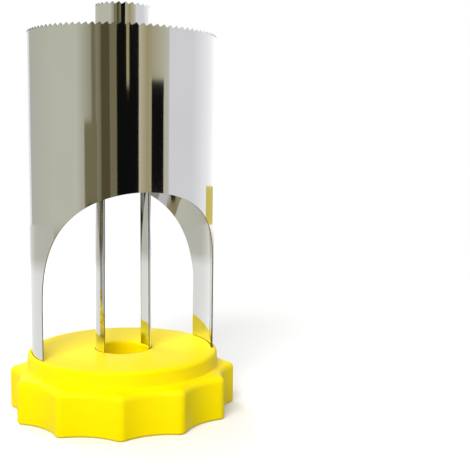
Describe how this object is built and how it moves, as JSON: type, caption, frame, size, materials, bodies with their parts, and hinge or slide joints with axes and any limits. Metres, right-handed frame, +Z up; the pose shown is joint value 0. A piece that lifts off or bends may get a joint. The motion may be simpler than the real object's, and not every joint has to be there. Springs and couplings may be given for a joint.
{
  "type": "pineapple slicer",
  "caption": "Twist-handle pineapple slicer: a saw-toothed steel cutting tube round a narrow coring tube, both standing on two legs in a lobed plastic grip.",
  "frame": {"origin": "centre of the handle's underside, on the surface that the slicer stands on", "axes": "+Z up along the tubes' common axis; the legs of both tubes stand on +X and -X, and the arches open towards +Y and -Y"},
  "size_m": [0.099, 0.099, 0.1808],
  "materials": {
    "yellow_plastic": "glossy moulded plastic",
    "polished_stainless": "mirror-polished stainless sheet",
    "zinc_plated_steel": "bright zinc plating"
  },
  "bodies": {
    "root": {"handle_shell": "yellow_plastic", "base_cover": "yellow_plastic", "outer_cutting_tube": "polished_stainless", "inner_coring_tube": "polished_stainless", "foot_screw_1": "zinc_plated_steel", "foot_screw_2": "zinc_plated_steel", "foot_screw_3": "zinc_plated_steel", "foot_screw_4": "zinc_plated_steel", "foot_screw_5": "zinc_plated_steel", "foot_screw_6": "zinc_plated_steel", "cover_screw_1": "zinc_plated_steel", "cover_screw_2": "zinc_plated_steel", "cover_screw_3": "zinc_plated_steel", "cover_screw_4": "zinc_plated_steel"}
  },
  "joints": []
}
